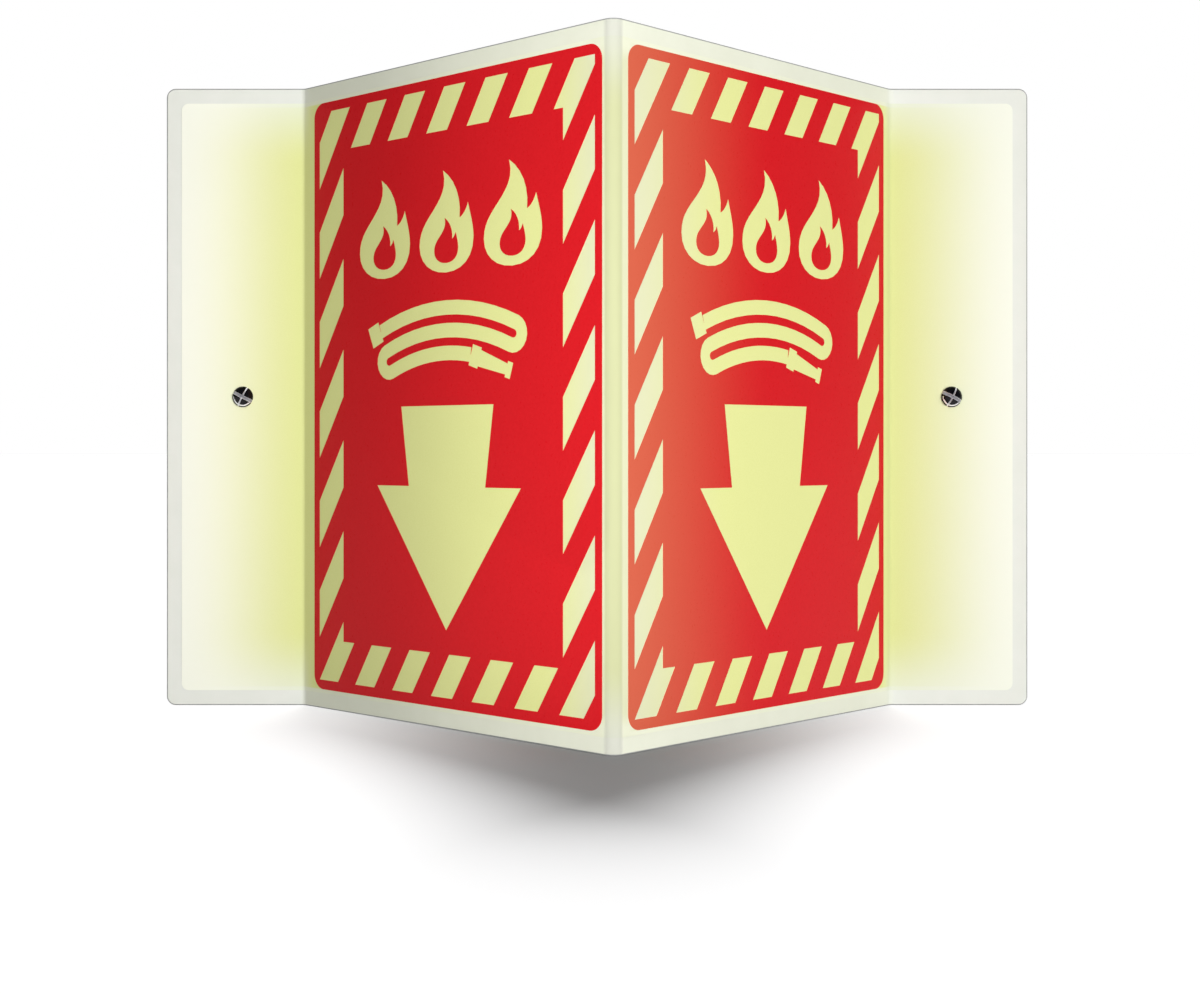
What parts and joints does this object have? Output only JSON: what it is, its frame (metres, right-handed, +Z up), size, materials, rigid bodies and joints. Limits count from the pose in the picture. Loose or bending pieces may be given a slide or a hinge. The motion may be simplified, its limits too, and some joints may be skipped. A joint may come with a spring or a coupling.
{
  "type": "projecting fire safety sign",
  "caption": "V-shaped wall sign folded from one plastic sheet, with a glow-in-the-dark face, red striped prints with down arrows, and flanges screwed to the wall.",
  "frame": {"origin": "on the wall plane, halfway between the two wall screws", "axes": "+X to the viewer's right along the wall, +Y into the wall, +Z up along the folds"},
  "size_m": [0.4256, 0.1744, 0.3048],
  "materials": {
    "sheet_plastic": "satin white high-impact plastic sheet",
    "glow_film": "satin pale yellow-green photoluminescent film",
    "red_ink": "semi-gloss red screen ink",
    "screw_steel": "glossy black steel, bare in the slots"
  },
  "bodies": {
    "root": {"sign_panel": "sheet_plastic", "glow_film": "glow_film", "legend_left": "red_ink", "legend_right": "red_ink", "screw_left": "screw_steel", "screw_right": "screw_steel"}
  },
  "joints": []
}
